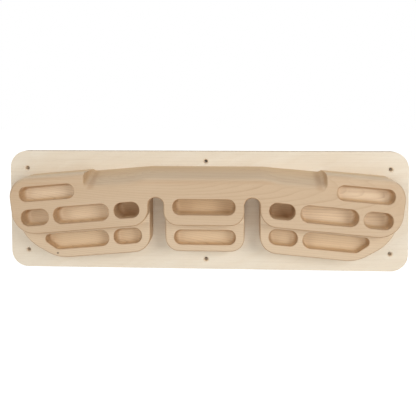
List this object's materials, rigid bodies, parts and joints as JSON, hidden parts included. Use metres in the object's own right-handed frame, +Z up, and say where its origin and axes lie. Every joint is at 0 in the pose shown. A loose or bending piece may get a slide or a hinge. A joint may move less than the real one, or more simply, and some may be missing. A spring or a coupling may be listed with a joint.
{
  "type": "hangboard",
  "caption": "Climbing hangboard: a winged hardwood block with slopers, finger pockets and a stepped lower row, screwed to a round-cornered plywood panel.",
  "frame": {"origin": "centre of the plywood panel's back face, where it meets the wall", "axes": "+X to the climber's right along the panel, +Y out of the back face into the wall, +Z up; the grips face -Y"},
  "size_m": [0.705, 0.073, 0.21],
  "materials": {
    "panel_wood": "sanded and sealed, matte",
    "block_wood": "sanded smooth, uncoated",
    "screw_steel": "bright"
  },
  "bodies": {
    "root": {"backing_panel": "panel_wood", "hangboard_block": "block_wood", "assembly_screw_1": "screw_steel", "assembly_screw_2": "screw_steel", "assembly_screw_3": "screw_steel", "assembly_screw_4": "screw_steel", "assembly_screw_5": "screw_steel", "assembly_screw_6": "screw_steel", "assembly_screw_7": "screw_steel", "assembly_screw_8": "screw_steel", "assembly_screw_9": "screw_steel", "assembly_screw_10": "screw_steel", "assembly_screw_11": "screw_steel", "assembly_screw_12": "screw_steel"}
  },
  "joints": []
}
